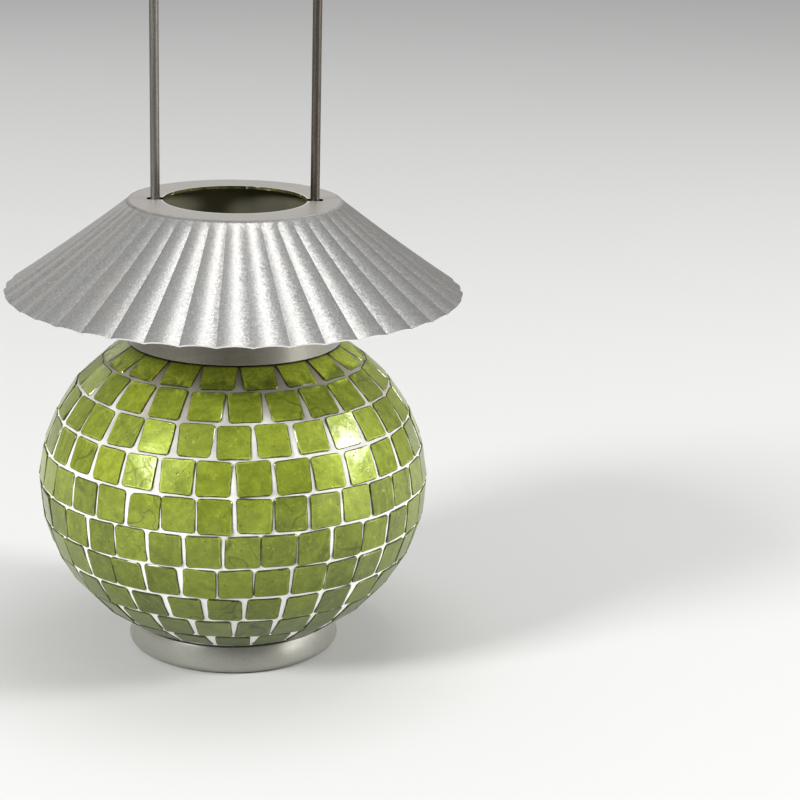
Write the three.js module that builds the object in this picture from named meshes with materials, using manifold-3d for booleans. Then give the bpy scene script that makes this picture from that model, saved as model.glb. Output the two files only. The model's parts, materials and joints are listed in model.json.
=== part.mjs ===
// Hanging mosaic tealight lantern, in millimetres.
// A flattened glass globe wears ten rows of square glass tiles set in white grout. It stands on a spun
// metal foot ring and carries a spun metal collar. A loose scalloped shade sits on the collar's rim,
// and a wire bail hooked through the collar rises through two slots in the shade.
// +Z is up, the origin is on the floor under the globe's axis, and the bail lies in the XZ plane.

import * as THREE from "three";
import { mergeVertices } from "three/addons/utils/BufferGeometryUtils.js";
import Module from "manifold-3d";

// Globe, measured over the tiles' faces
const globeRadius = 60;
const globeHalfHeight = 52.4;
const tileRows = 10;
const tileThickness = 1.8;
const tileFaceDepth = 0.15; // the middle of a flat tile lies this far inside the globe
const tileJoint = 1.05; // grout line between two tiles, a quarter of a row from its narrow side
const rowJoint = 0.95; // grout line between two rows
const grooveDepth = 1.1; // the joint between two tiles of a row
const groutThickness = 0.6;
const groutRecess = 0.4; // the grout lies this far inside the globe
const glassThickness = 2.6;
const mouthClearance = 4.8; // between the tealight and the glass mouth, each side
const mouthLip = 2.2;
const lipTaper = 0.1;
const floorClearance = 1.5; // round the tealight on the flat floor inside
const undersideRadius = 12; // flat underside of the glass
const underCollar = 1.7; // the tiles start this far inside the collar's edge
const groutPastTiles = 1.2; // the grout bed goes on this far above the tiles
const aboveFoot = 2; // the tiles end this far outside the foot's top edge
const globeSegments = 40;

// Foot ring
const footHeight = 8.26;
const footRadius = 32.9;
const footTaper = 1.4; // its wall leans in by this much
const footSheet = 1.2;
const footFlange = 7;
const footEdge = 1.5; // rounding between wall and flange
const metalSegments = 48;

// Collar
const collarFlare = 4.8; // how far its lower edge stands out past the neck
const collarHeight = 42;
const collarBand = 6.5; // nearly upright band above the tiles
const collarTaper = 0.4; // the band leans in by this much
const shoulderSteps = 4; // in the curve from the band to the neck
const collarSheet = 1;
const neckHeight = 22;

// Shade
const shadeRadius = 69.8;
const shadeDrop = 28.2; // from the flat top to the rim
const shadeSheet = 1;
const shadeOverhang = 4.5; // flat top, past the collar's neck
const shadeFlare = 0.07;
const shadeStep = 0.45; // little step down from the flat top to the scallops
const shadeStepWidth = 0.9;
const openingMargin = 0.86; // the opening's edge lies this far inside the bail's legs
const scallops = 42;
const scallopColumns = 3; // steps round each scallop, the first on its crease
const scallopRise = 0.75; // at the rim
const scallopAtTop = 0.25; // share of the rise where the scallops start
const slotClearance = 0.4; // between wire and slot, each side
const slotEndClearance = 1.1;

// Bail
const wireRadius = 1.4;
const legMargin = 3.7; // between the tealight and a leg as it is lifted out
const legToNeck = 1.3; // between a leg and the inside of the collar's neck
const bailAbovePivot = 131;
const pivotBelowRim = 8.7;
const hookBend = 3;
const hookReach = 3; // past the neck's wall
const archSteps = 18;

// Tealight
const cupRadius = 19;
const cupHeight = 15;
const cupWall = 0.5;
const cupEdge = 0.5; // bevel round its floor
const waxBelowRim = 3;
const waxDip = 0.4; // round the wick
const wickRadius = 0.7;
const wickAboveWax = 6;
const tabRadius = 6;
const tabThickness = 0.4;
const tabBoss = 1.6; // radius and height of the boss that holds the wick
const cupSegments = 32;

const gap = 0.3; // between pieces that rest on or hold each other
const ribClearance = 0.34; // between the grout's ribs and the tiles' edges, which bow a little
const rimSeat = 0.6; // between the collar's edge and the tiles' middles, which clears their corners
const footSeat = 0.4; // from the foot's top edge to the globe

// Radii that follow
const legSpacing = 2 * (cupRadius + legMargin + wireRadius); // between the wires' centrelines
const neckRadius = legSpacing / 2 + wireRadius + legToNeck + collarSheet;
const collarRadius = neckRadius + collarFlare;
const shadeTopRadius = neckRadius + shadeOverhang;
const openingRadius = legSpacing / 2 - wireRadius - openingMargin;
const mouthRadius = cupRadius + mouthClearance;
const floorRadius = cupRadius + floorClearance;
const footTopRadius = footRadius - footTaper;

// Heights that follow
const heightOnGlobe = (radius) => globeHalfHeight * Math.sqrt(1 - (radius / globeRadius) ** 2);
const globeCentre = footHeight + footSeat + heightOnGlobe(footTopRadius);
const collarBottom = globeCentre + heightOnGlobe(collarRadius) + rimSeat;
const collarTop = collarBottom + collarHeight;
const shadeTop = collarTop + gap + shadeSheet;
const pivotHeight = collarTop - pivotBelowRim;

const lib = await Module();
lib.setup();

// A closed geometry as a solid that can be cut, and back
function solidOf(geometry) {
  const bare = new THREE.BufferGeometry();
  bare.setAttribute("position", geometry.getAttribute("position"));
  bare.setIndex(geometry.getIndex());
  const merged = mergeVertices(bare, 1e-4);
  return new lib.Manifold(
    new lib.Mesh({
      numProp: 3,
      vertProperties: new Float32Array(merged.attributes.position.array),
      triVerts: new Uint32Array(merged.index.array),
    }),
  );
}

function geometryOf(solid) {
  const mesh = solid.getMesh();
  const geometry = new THREE.BufferGeometry();
  geometry.setAttribute("position", new THREE.BufferAttribute(mesh.vertProperties, 3));
  geometry.setIndex(new THREE.BufferAttribute(mesh.triVerts, 1));
  geometry.computeVertexNormals();
  return geometry;
}

// Outlines are lists of [radius, height], anticlockwise, turned about the Z axis
function turned(outline, segments) {
  const points = outline.map(([radius, height]) => new THREE.Vector2(radius, height));
  if (outline[0][0] > 0) points.push(points[0].clone());
  return new THREE.LatheGeometry(points, segments).rotateX(Math.PI / 2);
}

// A turned ring whose columns of points are then placed one by one: place(column, point) gives
// [angle, radius, height]
function placedRing(outline, columns, place) {
  const points = outline.map(([radius, height]) => new THREE.Vector2(radius, height));
  const ring = new THREE.LatheGeometry([...points, points[0]], columns);
  const position = ring.getAttribute("position");
  for (let i = 0; i < position.count; i++) {
    const column = Math.floor(i / (points.length + 1)) % columns;
    const point = (i % (points.length + 1)) % points.length;
    const [angle, radius, height] = place(column, point);
    position.setXYZ(i, radius * Math.cos(angle), radius * Math.sin(angle), height);
  }
  return ring;
}

// An arc of an outline about [x, z], between two angles in degrees
function arc(x, z, radius, from, to, steps) {
  const points = [];
  for (let i = 0; i <= steps; i++) {
    const angle = THREE.MathUtils.degToRad(from + ((to - from) * i) / steps);
    points.push([x + radius * Math.cos(angle), z + radius * Math.sin(angle)]);
  }
  return points;
}

// A wire bent through the given points, with one section at each of them
class BentWire extends THREE.Curve {
  constructor(points) {
    super();
    this.points = points;
  }
  getPoint(t, target = new THREE.Vector3()) {
    const place = t * (this.points.length - 1);
    const i = THREE.MathUtils.clamp(Math.floor(place), 0, this.points.length - 2);
    return target.lerpVectors(this.points[i], this.points[i + 1], place - i);
  }
  getUtoTmapping(u) {
    return u;
  }
}

function metal(color, roughness) {
  return new THREE.MeshStandardMaterial({ color, roughness, metalness: 1 });
}

const materials = {
  clearGlass: new THREE.MeshStandardMaterial({
    color: 0xdfe8d8,
    roughness: 0.08,
    metalness: 0,
    transparent: true,
    opacity: 0.4,
  }),
  greenGlass: new THREE.MeshStandardMaterial({ color: 0x84a02a, roughness: 0.18, metalness: 0 }),
  grout: new THREE.MeshStandardMaterial({ color: 0xdcd8cf, roughness: 0.85, metalness: 0 }),
  silverPaint: metal(0xb9b8b4, 0.42),
  satinMetal: metal(0xaaa8a2, 0.38),
  wire: metal(0x8f8b84, 0.35),
  aluminium: metal(0xcfd0d2, 0.25),
  wax: new THREE.MeshStandardMaterial({ color: 0xf2eee4, roughness: 0.5, metalness: 0 }),
  cotton: new THREE.MeshStandardMaterial({ color: 0xe9e2d0, roughness: 0.95, metalness: 0 }),
};

const lantern = new THREE.Group();

function addTo(parent, name, geometry, material) {
  const mesh = new THREE.Mesh(geometry, material);
  mesh.name = name;
  parent.add(mesh);
  return mesh;
}

// ---- Globe ----

// The globe's upright section: the point at an angle above its equator, a depth inside its surface
function onGlobe(angle, depth) {
  const radius = globeRadius * Math.cos(angle);
  const height = globeHalfHeight * Math.sin(angle);
  const normal = normalAt(angle);
  return [radius - normal[0] * depth, globeCentre + height - normal[1] * depth];
}

function normalAt(angle) {
  const across = Math.cos(angle) / globeRadius;
  const up = Math.sin(angle) / globeHalfHeight;
  const length = Math.hypot(across, up);
  return [across / length, up / length];
}

const angleAtRadius = (radius) => Math.acos(radius / globeRadius);

// The rows share out the arc from under the collar's edge to just above the foot
const rowsTop = angleAtRadius(collarRadius - underCollar);
const rowsBottom = -angleAtRadius(footTopRadius + aboveFoot);
const rowsArc = new THREE.EllipseCurve(
  0,
  0,
  globeRadius,
  globeHalfHeight,
  rowsTop,
  rowsBottom,
  true,
);
rowsArc.arcLengthDivisions = 1000;
const rowPitch = rowsArc.getLength() / tileRows;
const tileSize = rowPitch - rowJoint;

// The angle of a place on the rows' arc, counted in rows from its top
const angleOfRow = (row) => rowsTop + (rowsBottom - rowsTop) * rowsArc.getUtoTmapping(row / tileRows);

// A distance along the arc either side of a seam, as an angle
const angleBeside = (row, distance) => angleOfRow(row + distance / rowPitch);

const groutBack = tileFaceDepth + tileThickness + gap + groutThickness;
const glassFace = groutBack + gap;

function tileRow(row) {
  const middle = angleOfRow(row + 0.5);
  const normal = normalAt(middle);
  const along = [normal[1], -normal[0]]; // down the meridian
  const centre = onGlobe(middle, tileFaceDepth);
  // A tile's edges are straight and its row is round, so its corners lie below its middle by this
  // much, and it is trimmed to stay between its seams
  const bow = centre[0] * along[0] * (1 / Math.cos(Math.asin(tileSize / 2 / centre[0])) - 1);
  // Its upper and lower sides are cut square to the globe at the seams they face
  const corner = (side, depth) => {
    const place = (side * (tileSize - Math.abs(bow)) + bow) / 2;
    const cut = normalAt(angleOfRow(row + (1 + side) / 2));
    const cutDepth = depth / (cut[0] * normal[0] + cut[1] * normal[1]);
    return [
      centre[0] + along[0] * place - cut[0] * cutDepth,
      centre[1] + along[1] * place - cut[1] * cutDepth,
    ];
  };
  const outline = [corner(1, 0), corner(-1, 0), corner(-1, tileThickness), corner(1, tileThickness)];
  const radii = [row + 0.25, row + 0.75].map((place) => globeRadius * Math.cos(angleOfRow(place)));
  const tiles = Math.round((2 * Math.PI * Math.min(...radii)) / (tileSize + tileJoint));
  const pitch = (2 * Math.PI) / tiles;
  // Each tile has a column at its left edge, one at its right edge and one in the joint after it
  return placedRing(outline, 3 * tiles, (column, point) => {
    const tile = Math.floor(column / 3);
    const part = column % 3;
    const [radius, height] = outline[point];
    const halfWidth = Math.asin(tileSize / 2 / radius);
    const angle = tile * pitch + [-halfWidth, halfWidth, pitch / 2][part];
    const flat = centre[0] * normal[0] * (1 / Math.cos(halfWidth) - 1);
    const proud = part === 2 && point < 2 ? -grooveDepth : flat;
    return [angle, radius + normal[0] * proud, height + normal[1] * proud];
  });
}

for (let row = 0; row < tileRows; row++) {
  const name = "tile_row_" + String(row + 1).padStart(2, "0");
  addTo(lantern, name, tileRow(row), materials.greenGlass);
}

// Grout: a thin bed behind the tiles with a rib in every seam between two rows
function groutOutline() {
  const bed = groutBack - groutThickness;
  const halfRib = rowJoint / 2 - ribClearance;
  const topEnd = angleAtRadius(collarRadius - underCollar - groutPastTiles);
  const bottomEnd = -angleAtRadius(footTopRadius + gap);
  const outer = [onGlobe(bottomEnd, groutRecess)];
  for (let seam = tileRows; seam >= 0; seam--) {
    const below = angleBeside(seam, halfRib);
    const above = angleBeside(seam, -halfRib);
    if (seam < tileRows) outer.push(onGlobe(below, bed), onGlobe(below, groutRecess));
    if (seam > 0) outer.push(onGlobe(above, groutRecess), onGlobe(above, bed));
  }
  outer.push(onGlobe(topEnd, groutRecess));
  const inner = [onGlobe(topEnd, groutBack)];
  for (let seam = 0; seam <= tileRows; seam++) inner.push(onGlobe(angleOfRow(seam), groutBack));
  inner.push(onGlobe(bottomEnd, groutBack));
  return [...outer, ...inner];
}

addTo(lantern, "grout_coat", turned(groutOutline(), globeSegments), materials.grout);

// Glass bowl with a flat floor, a flat underside and a fire-polished lip
function bowlOutline() {
  const glassBack = glassFace + glassThickness;
  const faceAt = (radius) => Math.acos(radius / (globeRadius - glassFace));
  const backAt = (radius) => Math.acos(radius / (globeRadius - glassBack));
  const lipAngle = faceAt(mouthRadius + glassThickness);
  const underside = onGlobe(-faceAt(undersideRadius), glassFace);
  const roundedAt = (undersideRadius + footTopRadius) / 2;
  const outer = [[0, underside[1]], underside, onGlobe(-faceAt(roundedAt), glassFace)];
  for (let seam = tileRows; seam >= 0; seam--) outer.push(onGlobe(angleOfRow(seam), glassFace));
  const lipStart = onGlobe(lipAngle, glassFace);
  const lipMiddle = mouthRadius + glassThickness / 2;
  const lipRadius = glassThickness / 2 - lipTaper;
  const lip = [lipStart, ...arc(lipMiddle, lipStart[1] + mouthLip, lipRadius, 0, 180, 4)];
  const inner = [onGlobe(backAt(mouthRadius), glassBack)];
  for (let seam = 0; seam <= tileRows; seam += 2) inner.push(onGlobe(angleOfRow(seam), glassBack));
  const floor = onGlobe(-backAt(floorRadius), glassBack);
  return [...outer, ...lip, ...inner, floor, [0, floor[1]]];
}

const bowlShape = bowlOutline();
const floorHeight = bowlShape[bowlShape.length - 1][1];
addTo(lantern, "glass_bowl", turned(bowlShape, globeSegments), materials.clearGlass);

// ---- Foot ring: an upright wall, a rounded lower edge and a flange turned in ----

function footOutline() {
  const innerEdge = footRadius - footFlange;
  return [
    [innerEdge, 0],
    ...arc(footRadius - footEdge, footEdge, footEdge, -90, 0, 3),
    [footTopRadius, footHeight],
    [footTopRadius - footSheet, footHeight],
    [footRadius - footSheet, footEdge],
    [footRadius - footEdge, footSheet],
    [innerEdge, footSheet],
  ];
}

addTo(lantern, "base_ring", turned(footOutline(), metalSegments), materials.satinMetal);

// ---- Collar: a band on the tiles, a shoulder and a neck that the bail hooks into ----

function collarOutline(inset) {
  const bandTop = collarBottom + collarBand;
  const neckBottom = collarTop - neckHeight;
  const edgeRise = heightOnGlobe(collarRadius - inset) - heightOnGlobe(collarRadius);
  const points = [[collarRadius - inset, collarBottom + edgeRise]];
  for (let i = 0; i <= shoulderSteps; i++) {
    const share = i / shoulderSteps;
    const bulge = (1 + Math.cos(Math.PI * share)) / 2;
    const radius = neckRadius + (collarFlare - collarTaper) * bulge;
    points.push([radius - inset, bandTop + (neckBottom - bandTop) * share]);
  }
  points.push([neckRadius - inset, collarTop]);
  return points;
}

function collar() {
  const outline = [...collarOutline(0), ...collarOutline(collarSheet).reverse()];
  const holeRadius = wireRadius + slotClearance;
  const drill = new THREE.CylinderGeometry(holeRadius, holeRadius, 4 * neckRadius, 20)
    .rotateZ(Math.PI / 2)
    .translate(0, 0, pivotHeight);
  return geometryOf(solidOf(turned(outline, metalSegments)).subtract(solidOf(drill)));
}

addTo(lantern, "collar", collar(), materials.satinMetal);

// ---- Shade: a flat top with an opening and two slots, and a skirt of scallops ----

// The skirt's crest line, from the step below the flat top (0) to the rim (1)
const skirtTop = shadeTop - shadeStep;
const skirtTopRadius = shadeTopRadius + shadeStepWidth;
function skirtCrest(share) {
  const radius = skirtTopRadius + (shadeRadius - skirtTopRadius) * share;
  const fallen = share + shadeFlare * share * (1 - share);
  return [radius, skirtTop - (shadeDrop - shadeStep) * fallen];
}

const skirtSlope = Math.atan2(shadeDrop - shadeStep, shadeRadius - skirtTopRadius);
const skirtNormal = [Math.sin(skirtSlope), Math.cos(skirtSlope)];

function shade() {
  const shares = [0, 0.15, 0.6, 1];
  const under = shares.map((share) => {
    const [radius, height] = skirtCrest(share);
    return [radius - skirtNormal[0] * shadeSheet, height - skirtNormal[1] * shadeSheet];
  });
  const shoulder = shadeStepWidth / 3;
  const outline = [
    [openingRadius, shadeTop - shadeSheet],
    [shadeTopRadius - shadeSheet, shadeTop - shadeSheet],
    ...under,
    ...shares.map(skirtCrest).reverse(),
    [shadeTopRadius + shoulder, shadeTop - shadeStep / 4],
    [shadeTopRadius - shoulder, shadeTop],
    [openingRadius, shadeTop],
  ];
  // Share of the full scallop at each point of the outline: none at the flat top
  const rising = shares.map((share) => (share > 0 ? 1 : scallopAtTop));
  const strength = [0, 0, ...rising, ...rising.slice().reverse(), 0, 0, 0];
  const columns = scallops * scallopColumns;
  const ring = placedRing(outline, columns, (column, point) => {
    const [radius, height] = outline[point];
    const across = (2 * (column % scallopColumns)) / scallopColumns - 1;
    const sunk = scallopRise * (radius / shadeRadius) * across ** 2 * strength[point];
    const angle = (column / columns) * 2 * Math.PI;
    return [angle, radius - skirtNormal[0] * sunk, height - skirtNormal[1] * sunk];
  });
  const slotEnd = legSpacing / 2 + wireRadius + slotEndClearance;
  const slotWidth = 2 * (wireRadius + slotClearance);
  const slots = new THREE.BoxGeometry(2 * slotEnd, slotWidth, 4 * shadeSheet).translate(0, 0, shadeTop);
  return geometryOf(solidOf(ring).subtract(solidOf(slots)));
}

addTo(lantern, "shade", shade(), materials.silverPaint);

// ---- Bail: an upside-down U of wire, its ends bent outwards through the collar's neck ----

function bail() {
  const leg = legSpacing / 2;
  const apex = pivotHeight + bailAbovePivot - wireRadius;
  const side = [
    [neckRadius + hookReach, pivotHeight],
    ...arc(leg + hookBend, pivotHeight + hookBend, hookBend, -90, -180, 5),
    ...[0.25, 0.5, 0.75].map((share) => [leg, pivotHeight + share * (bailAbovePivot - leg)]),
  ];
  const top = arc(0, apex - leg, leg, 0, 180, archSteps);
  const mirrored = side.map(([x, z]) => [-x, z]).reverse();
  const path = [...side, ...top, ...mirrored].map(([x, z]) => new THREE.Vector3(x, 0, z));
  const section = new THREE.Shape().absarc(0, 0, wireRadius, 0, 2 * Math.PI);
  return new THREE.ExtrudeGeometry(section, {
    steps: path.length - 1,
    extrudePath: new BentWire(path),
    curveSegments: 5,
    bevelEnabled: false,
  });
}

addTo(lantern, "bail", bail(), materials.wire);

// ---- Tealight, loose on the bowl's floor ----

const tealight = new THREE.Group();
tealight.position.z = floorHeight + gap;
lantern.add(tealight);

const waxTop = cupHeight - waxBelowRim;
const waxFloor = cupWall + gap;
const tabTop = waxFloor + tabThickness;

addTo(
  tealight,
  "tealight_cup",
  turned(
    [
      [0, 0],
      [cupRadius - cupEdge, 0],
      [cupRadius, cupEdge],
      [cupRadius, cupHeight],
      [cupRadius - cupWall, cupHeight],
      [cupRadius - cupWall, cupWall],
      [0, cupWall],
    ],
    cupSegments,
  ),
  materials.aluminium,
);

addTo(
  tealight,
  "tealight_wick_tab",
  turned(
    [
      [0, waxFloor],
      [tabRadius, waxFloor],
      [tabRadius, tabTop],
      [tabBoss, tabTop],
      [tabBoss, tabTop + tabBoss],
      [wickRadius + gap, tabTop + tabBoss],
      [wickRadius + gap, tabTop],
      [0, tabTop],
    ],
    24,
  ),
  materials.aluminium,
);

addTo(
  tealight,
  "tealight_wax",
  turned(
    [
      [tabRadius + gap, waxFloor],
      [cupRadius - cupWall - gap, waxFloor],
      [cupRadius - cupWall - gap, waxTop],
      [wickRadius + gap, waxTop - waxDip],
      [wickRadius + gap, tabTop + tabBoss + gap],
      [tabBoss + gap, tabTop + tabBoss + gap],
      [tabBoss + gap, tabTop + gap],
      [tabRadius + gap, tabTop + gap],
    ],
    cupSegments,
  ),
  materials.wax,
);

const wickLength = waxTop + wickAboveWax - tabTop - gap;
addTo(
  tealight,
  "tealight_wick",
  new THREE.CylinderGeometry(wickRadius, wickRadius, wickLength, 10)
    .rotateX(Math.PI / 2)
    .translate(0, 0, tabTop + gap + wickLength / 2),
  materials.cotton,
);

export default lantern;
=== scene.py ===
"""Hanging mosaic tealight lantern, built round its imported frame.

A glass globe wears ten rows of small square glass tiles in white grout. It stands on a metal foot ring
and carries a metal collar, a loose scalloped shade and a wire bail, and a tealight stands on its floor.
Laid out as an add-on: one operator for each piece or group of like pieces, one for the stage, and a panel
with them all. Everything is in metres, +Z up, and the bail lies in the XZ plane.
"""

import json
import math
import random

import bmesh
import bpy
from mathutils import Matrix, Vector


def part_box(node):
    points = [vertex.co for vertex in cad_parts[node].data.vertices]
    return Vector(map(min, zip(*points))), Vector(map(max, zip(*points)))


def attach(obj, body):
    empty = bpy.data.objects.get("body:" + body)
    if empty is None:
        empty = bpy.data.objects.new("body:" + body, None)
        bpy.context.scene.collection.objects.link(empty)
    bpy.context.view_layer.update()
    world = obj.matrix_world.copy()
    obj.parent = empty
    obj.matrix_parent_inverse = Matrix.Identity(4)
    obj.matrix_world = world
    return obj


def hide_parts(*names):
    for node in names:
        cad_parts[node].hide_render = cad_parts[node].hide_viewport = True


bl_info = {
    "name": "Mosaic Tealight Lantern",
    "version": (1, 0, 0),
    "blender": (4, 5, 0),
    "location": "View3D > Sidebar > Lantern",
    "description": "Builds a hanging mosaic tealight lantern piece by piece",
    "category": "Add Mesh",
}

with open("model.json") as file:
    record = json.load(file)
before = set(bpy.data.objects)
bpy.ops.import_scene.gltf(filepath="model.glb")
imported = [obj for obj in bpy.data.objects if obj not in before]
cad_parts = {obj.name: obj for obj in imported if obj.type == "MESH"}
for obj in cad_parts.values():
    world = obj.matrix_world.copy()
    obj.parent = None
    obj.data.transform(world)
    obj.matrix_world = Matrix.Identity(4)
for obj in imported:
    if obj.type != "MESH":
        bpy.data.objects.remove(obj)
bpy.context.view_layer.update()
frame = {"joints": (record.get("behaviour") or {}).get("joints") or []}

MM = 0.001
TURN = 2 * math.pi
# Vertices closer than this are merged
WELD = 1e-6

# The nodes' highest corners in the frame, and their lowest ones where a piece needs them
FOOT_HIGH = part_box("base_ring")[1]
COLLAR_LOW, COLLAR_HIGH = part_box("collar")
SHADE_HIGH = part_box("shade")[1]
BAIL_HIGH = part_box("bail")[1]
CUP_LOW, CUP_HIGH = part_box("tealight_cup")
WAX_LOW, WAX_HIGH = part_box("tealight_wax")
WICK_LOW, WICK_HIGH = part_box("tealight_wick")
TAB_LOW, TAB_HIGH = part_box("tealight_wick_tab")
BAIL_PIVOT = next(joint for joint in frame["joints"] if joint["name"] == "bail_swing")["pos_m"][2]

# Sizes that more than one piece is made to
FOOT_TAPER = 1.4 * MM
FOOT_TOP_RADIUS = FOOT_HIGH.x - FOOT_TAPER
LEG_INNER_SIDE = CUP_HIGH.x + 3.7 * MM
WIRE_PLAY = 0.4 * MM
TAB_SHEET = 0.4 * MM

# ---- Settings ----


def length(name, description, default, **more):
    return bpy.props.FloatProperty(
        name=name, description=description, default=default, min=0, unit="LENGTH", precision=5, **more
    )


def color(name, description, default):
    return bpy.props.FloatVectorProperty(
        name=name, description=description, default=default, size=3, min=0, max=1, subtype="COLOR"
    )


class MosaicSettings(bpy.types.PropertyGroup):
    globe_radius: length("Globe radius", "Half width over the tiles' faces", 0.0600)
    globe_half_height: length("Globe half height", "Half height of the whole flattened ball", 0.0524)
    tile_size: length("Tile size", "Side of a square tile", 0.01038)
    tile_thickness: length("Tile thickness", "Thickness of the glass", 0.0018)
    tile_corner: length("Tile corner", "Rounding of a tile's corners", 0.00108)
    tile_chamfer: length("Tile chamfer", "Width of the ground edge round a tile's face", 0.00024)
    tile_crown: length("Tile crown", "How far a tile's face stands up in its middle", 0.00010)
    face_depth: length("Face depth", "How far a tile's face lies inside the globe", 0.00015)
    grout_depth: length("Grout depth", "How far the grout lies inside the globe", 0.00024)
    grout_relief: length("Grout relief", "Unevenness of the grout", 0.00010)
    glass_light: color("Light glass", "Brightest tile colour", (0.335, 0.405, 0.033))
    glass_dark: color("Dark glass", "Darkest tile colour", (0.105, 0.14, 0.012))
    grout_color: color("Grout", "Colour of clean grout", (0.96, 0.955, 0.93))
    seed: bpy.props.IntProperty(name="Seed", description="Picks the tiles' small differences", default=7)


class MetalSettings(bpy.types.PropertyGroup):
    sheet: length("Sheet", "Thickness of the shade's sheet metal", 0.0009)
    scallop_rise: length("Scallop rise", "Depth of a scallop at the rim", 0.00085)
    scallops: bpy.props.IntProperty(
        name="Scallops", description="Number round the shade", default=42, min=3
    )
    wire_radius: length("Wire radius", "Half the bail's thickness", 0.0014)
    paint_color: color("Silver paint", "Colour of the shade", (0.35, 0.345, 0.335))
    satin_color: color("Satin metal", "Colour of the collar and foot ring", (0.285, 0.29, 0.255))
    wire_color: color("Wire", "Colour of the bail", (0.11, 0.103, 0.092))


class StageSettings(bpy.types.PropertyGroup):
    camera_place: bpy.props.FloatVectorProperty(
        name="Camera", description="Place of the camera", default=(0.0, -0.6555, 0.2684), unit="LENGTH"
    )
    camera_aim: bpy.props.FloatVectorProperty(
        name="Aim", description="Direction that the camera looks in", default=(0.0752, 0.9576, -0.2780)
    )
    camera_roll: bpy.props.FloatProperty(
        name="Roll", description="Turn about the line of sight", default=math.radians(1.442),
        unit="ROTATION",
    )
    lens: bpy.props.FloatProperty(name="Lens", description="Focal length in millimetres", default=98.7)
    floor_color: color("Floor", "Colour of the floor", (0.58, 0.58, 0.57))


# ---- Modelling helpers ----


def start():
    """Leaves object mode ready for a new primitive, with nothing selected."""
    if bpy.context.object and bpy.context.object.mode != "OBJECT":
        bpy.ops.object.mode_set(mode="OBJECT")
    bpy.ops.object.select_all(action="DESELECT")


def named(name):
    """The active object under its final name, its place moved into its mesh."""
    piece = bpy.context.object
    bpy.ops.object.transform_apply(location=True, rotation=True, scale=True)
    piece.name = piece.data.name = name
    return piece


def pick(piece, mode, test):
    """In edit mode, selects the vertices, edges or faces that pass the test, and nothing else."""
    bpy.ops.mesh.select_mode(type=mode)
    bpy.ops.mesh.select_all(action="DESELECT")
    mesh = bmesh.from_edit_mesh(piece.data)
    parts = {"VERT": mesh.verts, "EDGE": mesh.edges, "FACE": mesh.faces}[mode]
    for part in parts:
        part.select_set(test(part))
    mesh.select_flush_mode()
    bmesh.update_edit_mesh(piece.data)


def select(piece):
    """Leaves object mode ready for work on one piece, which is selected alone."""
    start()
    piece.select_set(True)
    bpy.context.view_layer.objects.active = piece


def edit(piece):
    select(piece)
    bpy.ops.object.mode_set(mode="EDIT")


def spun(name, outline, columns):
    """Spins an outline of (radius, height) points once round the Z axis, its faces turned outward."""
    start()
    first = outline[0]
    bpy.ops.mesh.primitive_circle_add(vertices=3, radius=MM, location=(first[0], 0, first[1]))
    bpy.ops.object.mode_set(mode="EDIT")
    bpy.ops.mesh.select_mode(type="VERT")
    bpy.ops.mesh.select_all(action="SELECT")
    bpy.ops.mesh.merge(type="CENTER")
    for here, there in zip(outline, outline[1:]):
        step = (there[0] - here[0], 0, there[1] - here[1])
        bpy.ops.mesh.extrude_vertices_move(TRANSFORM_OT_translate={"value": step})
    bpy.ops.mesh.select_all(action="SELECT")
    bpy.ops.mesh.spin(steps=columns, angle=TURN, center=(0, 0, 0), axis=(0, 0, 1))
    bpy.ops.mesh.select_all(action="SELECT")
    bpy.ops.mesh.remove_doubles(threshold=WELD)
    bpy.ops.mesh.normals_make_consistent(inside=False)
    bpy.ops.object.mode_set(mode="OBJECT")
    return named(name)


def modify(piece, kind, **settings):
    """Adds a modifier and applies it."""
    select(piece)
    modifier = piece.modifiers.new(kind, kind)
    for key, value in settings.items():
        setattr(modifier, key, value)
    bpy.ops.object.modifier_apply(modifier=modifier.name)


def smooth(piece, degrees):
    select(piece)
    bpy.ops.object.shade_smooth_by_angle(angle=math.radians(degrees))


def is_upright(edge, least):
    """Whether an edge climbs by more than the least height."""
    return abs(edge.verts[0].co.z - edge.verts[1].co.z) > least


def off_axis(place):
    """A place's distance from the Z axis."""
    return math.hypot(place.x, place.y)


def outwardness(face):
    """1 where a face looks straight away from the Z axis, -1 where it looks straight at it."""
    return (face.normal.x * face.center.x + face.normal.y * face.center.y) / off_axis(face.center)


def mark_faces(piece, name, test):
    """Writes a face attribute, 1 where a face passes the test."""
    mark = piece.data.attributes.new(name, "FLOAT", "FACE")
    mark.data.foreach_set("value", [float(test(face)) for face in piece.data.polygons])


def arc(x, z, radius, begin, end, steps):
    """Points of an arc about (x, z) between two angles in degrees."""
    angles = [math.radians(begin + (end - begin) * i / steps) for i in range(steps + 1)]
    return [(x + radius * math.cos(a), z + radius * math.sin(a)) for a in angles]


def finish_piece(piece, material, body, slot, *nodes):
    """Gives a piece its material and body, and hides the frame's nodes that it stands for. The slot is not
    used.
    """
    piece.data.materials.clear()
    piece.data.materials.append(material)
    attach(piece, body)
    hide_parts(*nodes)


# ---- Material helpers ----


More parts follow.
